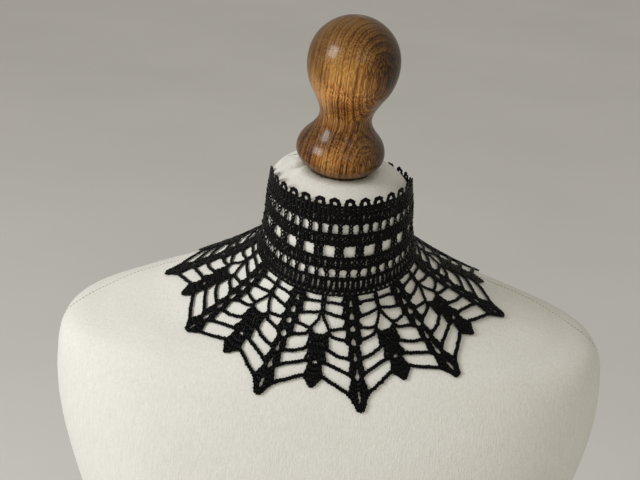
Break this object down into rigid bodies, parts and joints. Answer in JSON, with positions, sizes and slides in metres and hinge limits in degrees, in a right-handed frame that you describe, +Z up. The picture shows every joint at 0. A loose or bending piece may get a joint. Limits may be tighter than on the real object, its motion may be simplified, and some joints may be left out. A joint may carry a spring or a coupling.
{
  "type": "crochet lace collar on a limbless dress form",
  "caption": "Black crochet lace collar with a picot stand band and a pointed yoke, buttoned at the back, on a limbless ivory dress form with a turned wooden knob.",
  "frame": {"origin": "middle of the dress form's flat underside", "axes": "+Z up, -Y towards the front of the figure, +X towards the figure's left"},
  "size_m": [0.4434, 0.238, 0.7649],
  "materials": {
    "black_cotton": "mercerised crochet yarn with a soft sheen",
    "black_button": "polished",
    "ivory_jersey": "fine cotton jersey, matte",
    "stained_wood": "stained and waxed, soft gloss"
  },
  "bodies": {
    "root": {"band_left": "black_cotton", "band_right": "black_cotton", "yoke_left": "black_cotton", "yoke_right": "black_cotton", "button_top": "black_button", "button_middle": "black_button", "button_bottom": "black_button", "torso": "ivory_jersey", "knob": "stained_wood"}
  },
  "joints": []
}
